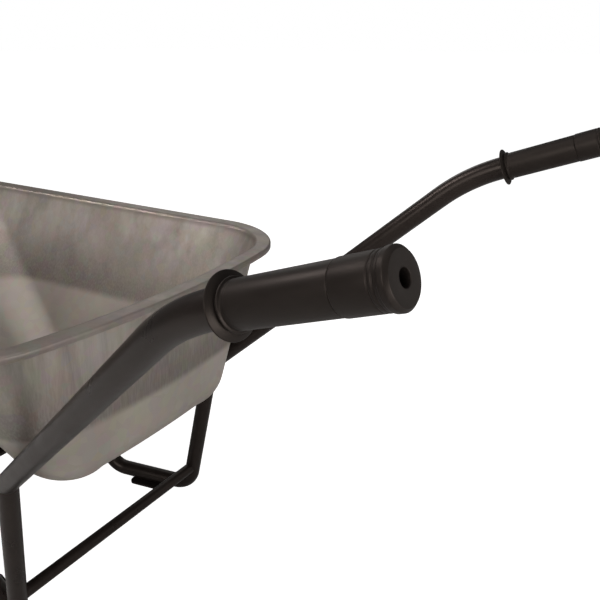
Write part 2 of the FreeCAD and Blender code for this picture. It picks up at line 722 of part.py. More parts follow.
def wheel_hub():
    return ring(HUB_R, HUB_BORE_R, on_axle(-HUB_HALF), on_axle(HUB_HALF))


def wheel_bush(side):
    """Flanged plain bearing pressed into the hub and running on the axle."""
    bore = AXLE_R + BUSH_FIT
    inner_end = HUB_HALF - BUSH_LENGTH
    outer_end = HUB_HALF + BUSH_FLANGE_T
    profile = [(inner_end, bore), (inner_end, HUB_BORE_R), (HUB_HALF, HUB_BORE_R), (HUB_HALF, BUSH_FLANGE_R),
               (outer_end, BUSH_FLANGE_R), (outer_end, bore)]
    return turned(profile, on_axle(0), ACROSS * side)


def rim_bolt_places():
    """Directions of the rim bolts from the axle."""
    angles = [math.radians(45 + 360 * i / RIM_BOLTS) for i in range(RIM_BOLTS)]
    return [Vector(math.cos(a), 0, math.sin(a)) for a in angles]


def valve_direction():
    angle = math.radians(VALVE_ANGLE)
    return Vector(math.cos(angle), 0, math.sin(angle))


def on_valve(radius):
    return on_axle(VALVE_Y).add(valve_direction() * radius)


def rim_half(side):
    """Pressed disc with a dished wall, a bead seat and an upturned edge."""
    line = [(RIM_EDGE_Y, RIM_EDGE_R), (BEAD_EDGE_Y, BEAD_SEAT_R), (BEAD_INNER_Y, BEAD_SEAT_R - SEAT_TAPER),
            (WELL_Y, WELL_R), (0, DISH_R), (0, HUB_R)]
    half = turned(strip(line, RIM_SHEET), on_axle(0), ACROSS * side)
    places = [(on_axle(0).add(direction * RIM_BOLT_CIRCLE_R), ACROSS) for direction in rim_bolt_places()]
    half = drill(half, places, SHORT_DRILL)
    return half.cut(rod(VALVE_R, on_valve(VALVE_BASE_R), on_valve(VALVE_END_R)))


def rim_bolt(direction):
    return hex_bolt(on_axle(-RIM_SHEET).add(direction * RIM_BOLT_CIRCLE_R), ACROSS, 2 * RIM_SHEET)


def rim_nut(direction):
    return nut(on_axle(RIM_SHEET).add(direction * RIM_BOLT_CIRCLE_R), ACROSS)


def tyre():
    """Air-filled tyre: two beads, rounded side walls and a crowned tread."""
    def skin(profile, crown):
        """Edges from bead to bead over the crown, from (radius, distance from the middle) points."""
        left = [Vector(radius, 0, along) for radius, along in profile]
        right = [Vector(radius, 0, -along) for radius, along in profile]
        edges = [Part.Arc(left[-1], Vector(crown, 0, 0), right[-1]).toShape()]
        for bead, lip, bulge, shoulder in (left, right):
            edges += [Part.makeLine(bead, lip), Part.Arc(lip, bulge, shoulder).toShape()]
        return edges

    outside = [(BEAD_R, BEAD_Y), (RIM_EDGE_R, LIP_Y), (BULGE_R, TYRE_HALF), (TYRE_R - SHOULDER, SHOULDER_Y)]
    inside = [(BEAD_R, BEAD_IN_Y), (RIM_EDGE_R, LIP_IN_Y), (BULGE_IN_R, BULGE_IN_Y),
              (TYRE_R - SHOULDER_IN, SHOULDER_IN_Y)]
    edges = skin(outside, TYRE_R) + skin(inside, TYRE_R - TREAD_T)
    for side in (LEFT, RIGHT):
        edges.append(Part.makeLine(Vector(BEAD_R, 0, side * BEAD_Y), Vector(BEAD_R, 0, side * BEAD_IN_Y)))
    return around_axle(Part.Face(Part.Wire(Part.sortEdges(edges)[0])))


def inner_tube():
    """Hollow rubber ring, open only where the valve stem enters."""
    def oval(shrink):
        ellipse = Part.Ellipse(Vector(INNER_TUBE_R, 0, 0), INNER_TUBE_HALF - shrink, INNER_TUBE_RISE - shrink)
        edge = ellipse.toShape()
        edge.rotate(Vector(INNER_TUBE_R, 0, 0), Vector(1, 0, 0), 90)
        edge.rotate(Vector(INNER_TUBE_R, 0, 0), Vector(0, 1, 0), 90)
        return Part.Face(Part.Wire(edge))

    rubber = around_axle(oval(0)).cut(around_axle(oval(RUBBER)))
    return rubber.cut(rod(VALVE_R, on_valve(VALVE_BASE_R), on_valve(VALVE_END_R)))


def valve_stem():
    return rod(VALVE_R, on_valve(VALVE_BASE_R), on_valve(VALVE_END_R))


def valve_cap():
    blank = rod(CAP_R, on_valve(CAP_TIP_R), on_valve(CAP_MOUTH_R))
    return blank.cut(valve_stem())


# ---- main ------------------------------------------------------------------------------------------------

def save_sides(name, build):
    """One node for each side."""
    save("left_" + name, build(LEFT))
    save("right_" + name, build(RIGHT))


def save_frame():
    save_sides("handle_tube", handle_tube)
    save_sides("grip", grip)
    save_sides("leg", leg)
    save_sides("foot_plate", foot_plate)
    save_sides("front_stay", front_stay)
    save_sides("axle_bracket", axle_bracket)
    save("leg_brace", leg_brace())
    save("rear_cross_bar", cross_bar(REAR_BAR_X))
    save("front_cross_bar", cross_bar(FRONT_BAR_X))
    save("nose_hoop", nose_hoop())
    save("tray", tray())
    save_group("tube_end_plugs", [tube_end_plug(side) for side in (LEFT, RIGHT)])


def save_wheel():
    save("axle", axle())
    save_sides("axle_spacer", axle_spacer)
    save_group("axle_washers", [axle_washer(side) for side in (LEFT, RIGHT)])
    save_group("axle_nuts", [axle_nut(side) for side in (LEFT, RIGHT)])
    save("wheel_hub", wheel_hub())
    save_sides("wheel_bush", wheel_bush)
    save_sides("rim_half", rim_half)
    save_group("rim_bolts", [rim_bolt(direction) for direction in rim_bolt_places()])
    save_group("rim_nuts", [rim_nut(direction) for direction in rim_bolt_places()])
    save("tyre", tyre())
    save("inner_tube", inner_tube())
    save("valve_stem", valve_stem())
    save("valve_cap", valve_cap())


def save_fasteners():
    tray_grip = SHEET + BAR_T + WASHER_T
    seats = tray_bolt_seats()
    save_group("tray_bolts", [dome_bolt(seat, TRAY_DOWN, tray_grip) for seat in seats])
    save_group("tray_washers", [washer(seat.add(TRAY_DOWN * (SHEET + BAR_T)), TRAY_DOWN) for seat in seats])
    save_group("tray_nuts", [nut(seat.add(TRAY_DOWN * tray_grip), TRAY_DOWN) for seat in seats])

    bar_grip = BAR_T + 2 * TUBE_R
    seats = cross_bar_bolt_seats()
    save_group("cross_bar_bolts", [hex_bolt(seat, TRAY_DOWN, bar_grip) for seat in seats])
    save_group("cross_bar_nuts", [nut(seat.add(TRAY_DOWN * bar_grip), TRAY_DOWN) for seat in seats])

    flange_grip = BRACKET_T + 2 * TUBE_R
    seats = bracket_bolt_seats()
    save_group("bracket_bolts", [hex_bolt(seat, TRAY_UP, flange_grip) for seat in seats])
    save_group("bracket_nuts", [nut(seat.add(TRAY_UP * flange_grip), TRAY_UP) for seat in seats])

    hoop_grip = 2 * (HOOP_R + TUBE_R) + HOOP_GAP
    places = [(seat, outward(side) * -1.0) for side in (LEFT, RIGHT) for seat in hoop_bolt_seats(side)]
    save_group("hoop_bolts", [hex_bolt(seat, inward, hoop_grip) for seat, inward in places])
    save_group("hoop_nuts", [nut(seat.add(inward * hoop_grip), inward) for seat, inward in places])

    lower = [(stay_bolt_seat(side), TRAY_DOWN, BAR_T + 2 * TUBE_R) for side in (LEFT, RIGHT)]
    upper = [(stay_top_seat(side), wall_normal(), STAY_SEAT_LIFT + SHEET + BAR_T) for side in (LEFT, RIGHT)]
    save_group("stay_bolts", [hex_bolt(seat, way, reach) for seat, way, reach in lower] +
               [dome_bolt(seat, way, reach) for seat, way, reach in upper])
    save_group("stay_nuts", [nut(seat.add(way * reach), way) for seat, way, reach in lower + upper])


def main():
    os.makedirs("parts", exist_ok=True)
    save_frame()
    save_wheel()
    save_fasteners()


main()
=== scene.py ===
import json
import math

import bpy
import numpy as np
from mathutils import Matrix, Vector


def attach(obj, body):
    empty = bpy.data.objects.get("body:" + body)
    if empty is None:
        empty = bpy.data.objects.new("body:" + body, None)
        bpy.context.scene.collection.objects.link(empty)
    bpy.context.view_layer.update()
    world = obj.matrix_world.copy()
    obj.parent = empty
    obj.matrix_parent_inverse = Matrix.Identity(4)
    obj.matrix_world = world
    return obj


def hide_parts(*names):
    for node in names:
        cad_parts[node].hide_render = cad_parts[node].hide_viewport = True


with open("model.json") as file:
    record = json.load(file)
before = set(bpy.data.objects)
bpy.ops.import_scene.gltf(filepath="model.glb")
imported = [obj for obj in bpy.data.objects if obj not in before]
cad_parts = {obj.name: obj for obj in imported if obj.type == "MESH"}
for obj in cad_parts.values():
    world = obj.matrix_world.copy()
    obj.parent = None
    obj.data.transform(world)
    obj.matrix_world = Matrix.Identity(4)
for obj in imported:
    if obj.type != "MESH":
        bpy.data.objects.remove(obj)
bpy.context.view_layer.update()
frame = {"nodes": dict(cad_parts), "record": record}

# A single-wheel builder's wheelbarrow. Metres, in the CAD frame: +X forward to the wheel, +Y left, +Z up.

LEFT, RIGHT = 1, -1

# ---- driving dimensions ----------------------------------------------------------------------------------

# handle tubes
TUBE_R = 0.0150
COLLAR = Vector((-0.5941, 0.300, 0.680))
GRIP_RISE, GRIP_TOE = 20.1, 3.7            # degrees
STEEP_DROP, TUBE_TOE = 40.8, 12.0
HANDLE_BEND_START = 0.053
HANDLE_BENDS = (0.252, 0.120)
TUBE_PAST_AXLE = 0.045

# grips
GRIP_LENGTH = 0.1336
GRIP_R, GRIP_CAP_R, GRIP_END_R = 0.0174, 0.0180, 0.0189
COLLAR_R, COLLAR_EDGE, COLLAR_T = 0.0243, 0.001, 0.0026
RIDGE_R, RIDGE_START, RIDGE_END = 0.0192, 0.0056, 0.0068
NECK_R, NECK_START, BODY_START = 0.0173, 0.0036, 0.0104
CAP_LINE, CAP_STEP = 0.70, 0.0006
GROOVE, GROOVE_HALF = 0.0006, 0.0008
GROOVE_PLACES = (0.0130, 0.0096)   # from the free end
END_DISC, END_CHAMFER = 0.0064, 0.0024
GRIP_HOLE_R, GRIP_END_WALL = 0.0058, 0.007
TUBE_SOCKET_GAP = 0.0003           # keeps the grip's bore clear of the tube
TUBE_END_GAP = 0.0005              # and the tube's end clear of the grip's end wall
GRIP_SOFT_EDGE = 0.0005

# tray
TRAY_TILT = 2.9                    # degrees
TRAY_X, TRAY_Z = -0.2624, 0.522
TRAY_LENGTH, TRAY_DEPTH, SHEET = 0.830, 0.258, 0.0015
RIM_HALF_WIDTH, RIM_CORNER_U = 0.3416, 0.042
RIM_LIP, RIM_LIP_HEM = 0.025, 0.008
SIDE_TOE = 9.3                     # degrees
RIM_CORNER_R, FLOOR_CORNER_R = 0.128, 0.070
REAR_BULGE_R, FLOOR_REAR_R = 1.410, 2.000
FRONT_BULGE_R, FLOOR_FRONT_R = 1.100, 1.600
REAR_SLOPE, SIDE_SLOPE, FRONT_SLOPE = 2.5, 28.0, 53.0   # degrees from upright
FLOOR_BEND_R = 0.066
FLOOR_EDGE = 0.001                 # narrow flat band inside the bend
HEM_ROUND, WALL_ROUND = 0.0035, 0.006   # bends at the outer and the inner edge of the rim
HEM_TIP, HEM_TIP_LIFT = 0.0004, 0.0005  # softened lower edge of the hem
SHEET_SIDE = 1.0                   # the sheet's thickness lies under the modelled upper skin

# frame
BAR_T = 0.005
LEG_R = 0.0140
LEG_TOP_X, LEG_HEEL_X, LEG_TOE_X, LEG_FRONT_X = -0.130, -0.0695, 0.105, 0.175
LEG_BEND_R = 0.040
FOOT_T = 0.004
HOOP_R, HOOP_REAR_X, HOOP_BEND_R, HOOP_GAP = 0.0125, 0.412, 0.040, 0.0003
LENGTH = 1.450

# wheel
AXLE = Vector((0.490, 0, 0.185))
TYRE_R, TYRE_HALF, SHOULDER_R = 0.185, 0.046, 0.174
BEAD_R, LIP_R = 0.101, 0.112
BEAD_Y, LIP_Y, SHOULDER_Y, BULGE_R = 0.036, 0.037, 0.038, 0.146
BEAD_IN_Y, LIP_IN_Y, SHOULDER_IN_Y = 0.026, 0.029, 0.031
BULGE_IN_Y, BULGE_IN_R = 0.039, 0.144
CROWN_IN_R, SHOULDER_IN_R = 0.176, 0.167
LUGS = 40                          # round each shoulder
LUG_DEPTH, LUG_GAP, LUG_SLANT = 0.0045, 0.34, 0.55      # gap and slant as shares of the pitch
RIB_EDGE, GROOVE_EDGE, TREAD_EDGE = 0.16, 0.26, 1.12    # shares of the shoulder's distance from the middle
TREAD_FADE_R, TREAD_FADE = 0.160, 0.008

# steps round and along the smooth shapes
GRIP_SEGMENTS, TUBE_SEGMENTS, BAR_SEGMENTS = 144, 72, 56
REAR_STEPS, CORNER_STEPS, SIDE_STEPS, FRONT_STEPS = 20, 28, 36, 14
WALL_STEPS, ROUND_STEPS, BEND_STEPS = 12, 6, 14
LUG_SEGMENTS = 14

# softened edges of the CAD pieces; domed bolt heads are round already
COMMON_EDGE = 0.0004
EDGE_WEAR = {"left_rim_half": 0.0009, "right_rim_half": 0.0009, "tube_end_plugs": 0.0012,
             "valve_cap": 0.0010, "tray_bolts": 0.0, "stay_bolts": 0.0}

# studio and camera
WHITE = (1, 1, 1, 1)
WARM = (1.0, 0.965, 0.93)
ROSY = (1.0, 0.91, 0.88)
WARM_SHEEN = (1.0, 0.86, 0.78, 1)
FLOOR_HALF = 40.0
FLOOR_LIFT = 0.92                  # glow that brings the floor up to white for the camera alone
WORLD_HORIZON = (0.11, 0.107, 0.104, 1)
WORLD_ZENITH = (0.22, 0.22, 0.22, 1)
CAMERA_PLACE = (-0.8526, 0.6187, 0.8439)
CAMERA_YAW, CAMERA_PITCH = -57.3, -21.4     # degrees
FOCAL_PER_WIDTH = 1.11567                   # focal length as a share of the picture's width


# ---- paths ------------------------------------------------------------------------------------------------

def heading(drop, toe, side):
    """Unit vector that runs forward, dropping and closing in by the given angles."""
    drop = math.radians(drop)
    toe = math.radians(toe)
    return Vector((math.cos(drop) * math.cos(toe), -side * math.cos(drop) * math.sin(toe), -math.sin(drop)))


def collar_point(side):
    return Vector((COLLAR.x, side * COLLAR.y, COLLAR.z))


def handle_corner(side):
    return collar_point(side) + heading(GRIP_RISE, GRIP_TOE, side) * HANDLE_BEND_START


def tube_y(x, side):
    """Centre line of the handle tube in plan, ahead of its first bend."""
    corner = handle_corner(side)
    return corner.y - side * (x - corner.x) * math.tan(math.radians(TUBE_TOE))


def lower_run(x, side):
    """Centre of the handle tube where it runs under the tray."""
    tilt = math.radians(TRAY_TILT)
    drop = TRAY_DEPTH + SHEET + BAR_T + TUBE_R
    z = TRAY_Z - drop / math.cos(tilt) + (x - TRAY_X) * math.tan(tilt)
    return Vector((x, tube_y(x, side), z))


def lower_corner(side):
    """Corner between the steep run beside the tray and the run under it."""
    start = handle_corner(side)
    drop = math.tan(math.radians(STEEP_DROP)) / math.cos(math.radians(TUBE_TOE))
    rise = math.tan(math.radians(TRAY_TILT))
    x = start.x + (start.z - lower_run(start.x, side).z) / (drop + rise)
    return lower_run(x, side)


def steep_run(x, side):
    start = handle_corner(side)
    end = lower_corner(side)
    return start + (end - start) * ((x - start.x) / (end.x - start.x))


def rounded(points, radii, step=math.radians(2)):
    """Points along straight runs joined by circular bends."""
    route = [points[0]]
    for before, corner, after, bend in zip(points, points[1:], points[2:], radii):
        back = (before - corner).normalized()
        ahead = (after - corner).normalized()
        half = back.angle(ahead) / 2
        centre = corner + (back + ahead).normalized() * (bend / math.sin(half))
        start = (corner + back * (bend / math.tan(half)) - centre).normalized()
        end = (corner + ahead * (bend / math.tan(half)) - centre).normalized()
        turn = math.pi - 2 * half
        count = max(2, round(turn / step))
        route += [centre + start.slerp(end, i / count) * bend for i in range(count + 1)]
    return route + [points[-1]]


# ---- mesh helpers -----------------------------------------------------------------------------------------

def mesh_piece(name, verts, faces, finish, body="frame", sharp=35):
    """A smooth-shaded mesh object that rides on a CAD body."""
    mesh = bpy.data.meshes.new(name)
    mesh.from_pydata([tuple(v) for v in verts], [], faces)
    mesh.validate()
    mesh.polygons.foreach_set("use_smooth", [True] * len(mesh.polygons))
    mesh.set_sharp_from_angle(angle=math.radians(sharp))
    piece = bpy.data.objects.new(name, mesh)
    bpy.context.scene.collection.objects.link(piece)
    mesh.materials.append(MATERIALS[finish])
    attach(piece, body)
    return piece


def loops_to_faces(count, rings, closed=False):
    """Quads between consecutive rings of count points each."""
    faces = []
    for ring in range(rings if closed else rings - 1):
        here = ring * count
        there = (ring + 1) % rings * count
        for i in range(count):
            j = (i + 1) % count
            faces.append((here + i, here + j, there + j, there + i))
    return faces


def revolved(profile, start, direction, segments):
    """Verts and faces of a closed profile of (along, radius) points turned about an axis."""
    along = direction.normalized()
    side = along.orthogonal().normalized()
    other = along.cross(side)
    verts = []
    for distance, radius in profile:
        for i in range(segments):
            angle = 2 * math.pi * i / segments
            spoke = side * math.cos(angle) + other * math.sin(angle)
            verts.append(start + along * distance + spoke * radius)
    return verts, loops_to_faces(segments, len(profile), closed=True)


def softened(profile, reach, steps=3):
    """Closed profile whose corners are rounded off by up to reach."""
    points = [Vector(p) for p in profile]
    out = []
    for i, corner in enumerate(points):
        before = points[i - 1] - corner
        after = points[(i + 1) % len(points)] - corner
        first = corner + before.normalized() * min(reach, before.length * 0.45)
        last = corner + after.normalized() * min(reach, after.length * 0.45)
        for k in range(steps + 1):
            t = k / steps
            out.append(first * (1 - t) ** 2 + corner * 2 * t * (1 - t) + last * t * t)
    return [tuple(p) for p in out]


def swept(route, radius, segments):
    """Verts and faces of a round bar with flat ends along a route."""
    tangents = []
    for i in range(len(route)):
        before = route[max(i - 1, 0)]
        after = route[min(i + 1, len(route) - 1)]
        tangents.append((after - before).normalized())
    side = tangents[0].orthogonal().normalized()
    verts = []
    for point, tangent in zip(route, tangents):
        side = (side - tangent * side.dot(tangent)).normalized()
        other = tangent.cross(side)
        for i in range(segments):
            angle = 2 * math.pi * i / segments
            verts.append(point + (side * math.cos(angle) + other * math.sin(angle)) * radius)
    faces = loops_to_faces(segments, len(route))
    faces.append(tuple(reversed(range(segments))))
    faces.append(tuple(range(len(verts) - segments, len(verts))))
    return verts, faces


# ---- materials --------------------------------------------------------------------------------------------

def opaque(colour):
    """RGBA from an RGB tuple or from a single grey."""
    return (*colour, 1) if isinstance(colour, tuple) else (colour, colour, colour, 1)


class Finish:
    """Node material with short helpers for its layers. All textures use the object's own coordinates."""

    def __init__(self, name, roughness, metallic=0.0, **sockets):
        self.material = bpy.data.materials.new(name)
        self.material.use_nodes = True
        self.tree = self.material.node_tree
        self.shader = self.tree.nodes["Principled BSDF"]
        self.coords = self.tree.nodes.new("ShaderNodeTexCoord").outputs["Object"]
        self.shader.inputs["Roughness"].default_value = roughness
        self.shader.inputs["Metallic"].default_value = metallic
        for socket, value in sockets.items():
            self.shader.inputs[socket.replace("_", " ")].default_value = value

    def link(self, output, socket):
        self.tree.links.new(output, socket)

    def stretched(self, scale):
        node = self.tree.nodes.new("ShaderNodeMapping")
        node.inputs["Scale"].default_value = scale
        self.link(self.coords, node.inputs["Vector"])
        return node.outputs["Vector"]

    def noise(self, scale, detail=4.0, rough=0.55, stretch=(1, 1, 1), warp=0.0):
        node = self.tree.nodes.new("ShaderNodeTexNoise")
        node.inputs["Scale"].default_value = scale
        node.inputs["Detail"].default_value = detail
        node.inputs["Roughness"].default_value = rough
        node.inputs["Distortion"].default_value = warp
        self.link(self.stretched(stretch), node.inputs["Vector"])
        return node.outputs["Fac"]

    def cells(self, scale, stretch=(1, 1, 1)):
        node = self.tree.nodes.new("ShaderNodeTexVoronoi")
        node.inputs["Scale"].default_value = scale
        self.link(self.stretched(stretch), node.inputs["Vector"])
        return node.outputs["Color"]

    def ramp(self, value, low, high, start=0.35, end=0.65):
        """Map a 0 to 1 value to a colour or grey between low and high."""
        node = self.tree.nodes.new("ShaderNodeValToRGB")
        first, last = node.color_ramp.elements
        first.position, last.position = start, end
        first.color = opaque(low)
        last.color = opaque(high)
        self.link(value, node.inputs["Fac"])
        return node.outputs["Color"]

    def mix(self, factor, first, second, mode="MIX"):
        node = self.tree.nodes.new("ShaderNodeMix")
        node.data_type = "RGBA"
        node.blend_type = mode
        for value, socket in ((factor, node.inputs[0]), (first, node.inputs[6]), (second, node.inputs[7])):
            if isinstance(value, (int, float)):
                socket.default_value = value
            elif isinstance(value, tuple):
                socket.default_value = (*value, 1)
            else:
                self.link(value, socket)
        return node.outputs[2]

    def along(self, direction):
        """Object coordinate along a direction, in metres."""
        node = self.tree.nodes.new("ShaderNodeVectorMath")
        node.operation = "DOT_PRODUCT"
        self.link(self.coords, node.inputs[0])
        node.inputs[1].default_value = direction
        return node.outputs["Value"]

    def mapped(self, value, low, high, out_low=0.0, out_high=1.0):
        node = self.tree.nodes.new("ShaderNodeMapRange")
        node.interpolation_type = "SMOOTHSTEP"
        for socket, number in zip(node.inputs[1:5], (low, high, out_low, out_high)):
            socket.default_value = number
        self.link(value, node.inputs[0])
        return node.outputs[0]

    def bump(self, value, depth, strength=1.0, under=None):
        node = self.tree.nodes.new("ShaderNodeBump")
        node.inputs["Distance"].default_value = depth
        node.inputs["Strength"].default_value = strength
        self.link(value, node.inputs["Height"])
        if under is not None:
            self.link(under, node.inputs["Normal"])
        return node.outputs["Normal"]

    def finish(self, colour, roughness=None, normal=None):
        self.link(colour, self.shader.inputs["Base Color"])
        if roughness is not None:
            self.link(roughness, self.shader.inputs["Roughness"])
        if normal is not None:
            self.link(normal, self.shader.inputs["Normal"])
        return self.material


def galvanised_steel():
    """Satin galvanised sheet with rougher streaks drawn up the walls and a smooth zone below the draw line;
    painted reflections as lighter streaks up the walls, and painted shade with dark reflections as dark
    patches, as darker streaks and as darkening down the walls towards the draw line.
    """
    tilt = math.radians(TRAY_TILT)
    up = (-math.sin(tilt), 0, math.cos(tilt))
    rim = Vector(up).dot((TRAY_X, 0, TRAY_Z))
    f = Finish("galvanised_steel", 0.42, metallic=0.55, Specular_IOR_Level=0.4)
    height = f.along(up)
    cloud = f.noise(6.5, 3, 0.5, warp=0.4)
    painted_reflection_streaks = f.noise(15, 2, 0.5, stretch=(1, 1, 0.10))
    painted_dark_patches = f.noise(24, 3, 0.5, stretch=(1, 1, 0.16), warp=0.3)
    rough_streaks_painted_dark = f.noise(58, 5, 0.6, stretch=(1, 1, 0.055))
    fine = f.noise(420, 3, 0.6, stretch=(1, 1, 0.03))
    wall = f.ramp(cloud, (0.250, 0.220, 0.195), (0.320, 0.290, 0.262))
    # painted reflections: lighter streaks up the walls
    wall = f.mix(f.ramp(painted_reflection_streaks, 0.0, 0.60, 0.42, 0.60), wall, (0.390, 0.360, 0.335))
    # painted shade: the walls darken down towards the draw line
    painted_low_shade = f.mapped(height, rim - 0.150, rim - 0.030, 0.95, 0.0)
    wall = f.mix(painted_low_shade, wall, (0.150, 0.133, 0.116))
    # painted shade and dark reflections, in patches on the walls
    wall = f.mix(f.ramp(painted_dark_patches, 0.0, 0.50, 0.50, 0.68), wall, (0.150, 0.135, 0.120))
    # rougher streaks up the walls, darkened as painted shade and dark reflections
    wall = f.mix(f.ramp(rough_streaks_painted_dark, 0.0, 0.42), wall, (0.168, 0.148, 0.130))
    wall = f.mix(f.ramp(fine, 0.0, 0.25, 0.4, 0.7), wall, (0.360, 0.335, 0.310))
    base = f.ramp(cloud, (0.300, 0.272, 0.240), (0.360, 0.330, 0.296))
    above = f.mapped(height, rim - 0.160, rim - 0.145)
    tone = f.mix(above, base, wall)
    rubbed = f.mapped(height, rim - 0.012, rim - 0.003, 0.0, 0.75)
    tone = f.mix(rubbed, tone, (0.165, 0.145, 0.128))
    tone = f.mix(0.07, tone, f.cells(70), "SOFT_LIGHT")
    rough = f.mix(f.ramp(rough_streaks_painted_dark, 0.0, 1.0), (0.36, 0.36, 0.36), (0.50, 0.50, 0.50))
    rough = f.mix(0.3, rough, f.ramp(cloud, 0.34, 0.56))
    dents = f.bump(cloud, 0.004, 0.10)
    lines = f.bump(fine, 0.0002, 0.16, under=dents)
    return f.finish(tone, rough, lines)


def black_paint():
    """Satin black powder coat with slight orange peel and rubbed patches."""
    f = Finish("black_paint", 0.30, Specular_IOR_Level=0.24, Specular_Tint=WARM_SHEEN)
    patch = f.noise(14, 4, 0.6)
    peel = f.noise(900, 2, 0.5)
    dust = f.noise(160, 5, 0.7)
    tone = f.ramp(patch, (0.0078, 0.0058, 0.0052), (0.0122, 0.0094, 0.0084))
    tone = f.mix(f.ramp(dust, 0.0, 0.18, 0.55, 0.8), tone, (0.040, 0.037, 0.034))
    rough = f.ramp(patch, 0.26, 0.36)
    return f.finish(tone, rough, f.bump(peel, 0.00012, 0.25))


def grip_plastic():
    """Moulded plastic: fine grain, faint flow marks, handled patches a little glossier."""
    f = Finish("grip_plastic", 0.45, Specular_IOR_Level=0.20, Specular_Tint=WARM_SHEEN)
    grain = f.noise(1400, 2, 0.5)
    flow = f.noise(38, 3, 0.5, stretch=(0.35, 1, 1))
    tone = f.ramp(flow, (0.0068, 0.0052, 0.0046), (0.0096, 0.0078, 0.0069))
    rough = f.ramp(flow, 0.40, 0.50)
    under = f.bump(flow, 0.0004, 0.12)
    return f.finish(tone, rough, f.bump(grain, 0.00005, 0.25, under=under))


def rubber(name, low, high):
    """Matt rubber with a fine grain and dusty patches."""
    f = Finish(name, 0.72, IOR=1.45)
    grain = f.noise(650, 4, 0.65)
    dust = f.noise(28, 5, 0.65)
    tone = f.ramp(dust, low, high)
    rough = f.ramp(grain, 0.62, 0.84)
    return f.finish(tone, rough, f.bump(grain, 0.0002, 0.35))


def rim_paint():
    f = Finish("rim_paint", 0.38, Coat_Weight=0.15, Coat_Roughness=0.25)
    patch = f.noise(22, 4, 0.6)
    peel = f.noise(800, 2, 0.5)
    tone = f.ramp(patch, (0.030, 0.030, 0.031), (0.048, 0.047, 0.047))
    return f.finish(tone, f.ramp(patch, 0.32, 0.46), f.bump(peel, 0.00012, 0.25))


def zinc_plated_steel():
    f = Finish("zinc_plated_steel", 0.34, metallic=0.95)
    cloud = f.noise(120, 4, 0.6)
    brushed = f.noise(1500, 3, 0.6, stretch=(1, 1, 0.1))
    tone = f.ramp(cloud, (0.40, 0.40, 0.39), (0.60, 0.60, 0.585))
    rough = f.mix(0.4, f.ramp(cloud, 0.26, 0.44), f.ramp(brushed, 0.2, 0.5))
    return f.finish(tone, rough, f.bump(brushed, 0.0001, 0.2))


def plain_plastic(name, low, high, rough):
    f = Finish(name, rough, IOR=1.5)
    cloud = f.noise(60, 4, 0.6)
    grain = f.noise(1100, 2, 0.5)
    tone = f.ramp(cloud, low, high)
    return f.finish(tone, f.ramp(cloud, rough - 0.06, rough + 0.06), f.bump(grain, 0.00008, 0.25))


MATERIALS = {
    "galvanised_steel": galvanised_steel(),
    "black_paint": black_paint(),
    "grip_plastic": grip_plastic(),
    "tyre_rubber": rubber("tyre_rubber", (0.020, 0.020, 0.020), (0.036, 0.035, 0.033)),
    "tube_rubber": rubber("tube_rubber", (0.022, 0.022, 0.022), (0.030, 0.030, 0.030)),
    "rim_paint": rim_paint(),
    "nylon": plain_plastic("nylon", (0.66, 0.63, 0.56), (0.74, 0.72, 0.66), 0.45),
    "black_plastic": plain_plastic("black_plastic", (0.018, 0.018, 0.018), (0.028, 0.028, 0.028), 0.42),
    "zinc_plated_steel": zinc_plated_steel(),
}


# ---- tray -------------------------------------------------------------------------------------------------

def corner_centre(half_width, corner_r, end_u, end_r, toward):
    """Centres of a plan corner and of the bulging end arc that it touches, as (u, v)."""
    slope = math.tan(math.radians(SIDE_TOE))
    inner = half_width - corner_r / math.cos(math.radians(SIDE_TOE))
    arc_u = end_u + toward * end_r
    a = 1 + slope ** 2
    b = -2 * (arc_u + inner * slope)
    c = arc_u ** 2 + inner ** 2 - (end_r - corner_r) ** 2
    u = (-b - toward * math.sqrt(b * b - 4 * a * c)) / (2 * a)
    return np.array([u, inner - slope * u]), np.array([arc_u, 0.0])


def turn(centre, radius, start, end, count):
    """Points on an arc about centre from one direction to another, without its last point."""
    first = math.atan2(start[1], start[0])
    sweep = math.atan2(end[1], end[0]) - first
    sweep = (sweep + math.pi) % (2 * math.pi) - math.pi
    angles = first + sweep * np.arange(count) / count
    return centre + radius * np.column_stack([np.cos(angles), np.sin(angles)])


def plan_outline(half_width, rear_u, front_u, corner_r, rear_r, front_r):
    """Closed ring of (u, v) points with the same count for every size of outline."""
    toe = math.radians(SIDE_TOE)
    outward = np.array([math.sin(toe), math.cos(toe)])
    rear, rear_arc = corner_centre(half_width, corner_r, rear_u, rear_r, 1)
    front, front_arc = corner_centre(half_width, corner_r, front_u, front_r, -1)
    rear_far = (rear - rear_arc) / np.linalg.norm(rear - rear_arc)
    front_far = (front - front_arc) / np.linalg.norm(front - front_arc)
    side_start = rear + outward * corner_r
    side_end = front + outward * corner_r
    share = np.arange(SIDE_STEPS)[:, None] / SIDE_STEPS
    half = np.vstack([
        turn(rear_arc, rear_r, (-1, 0), rear_far, REAR_STEPS),
        turn(rear, corner_r, rear_far, outward, CORNER_STEPS),
        side_start + (side_end - side_start) * share,
        turn(front, corner_r, outward, front_far, CORNER_STEPS),
        turn(front_arc, front_r, front_far, (1, 0), FRONT_STEPS),
        [[front_u, 0.0]]])
    other = half[-2:0:-1] * [1, -1]
    return np.vstack([half, other])


def rim_ring(inset, w):
    """Ring on the rim, inset from its edge, at height w."""
    toe = math.radians(SIDE_TOE)
    half_width = RIM_HALF_WIDTH + RIM_CORNER_U * math.tan(toe) - inset / math.cos(toe)
    plan = plan_outline(half_width, inset, TRAY_LENGTH - inset, RIM_CORNER_R - inset,
                        REAR_BULGE_R - inset, FRONT_BULGE_R - inset)
    return np.column_stack([plan, np.full(len(plan), w)])


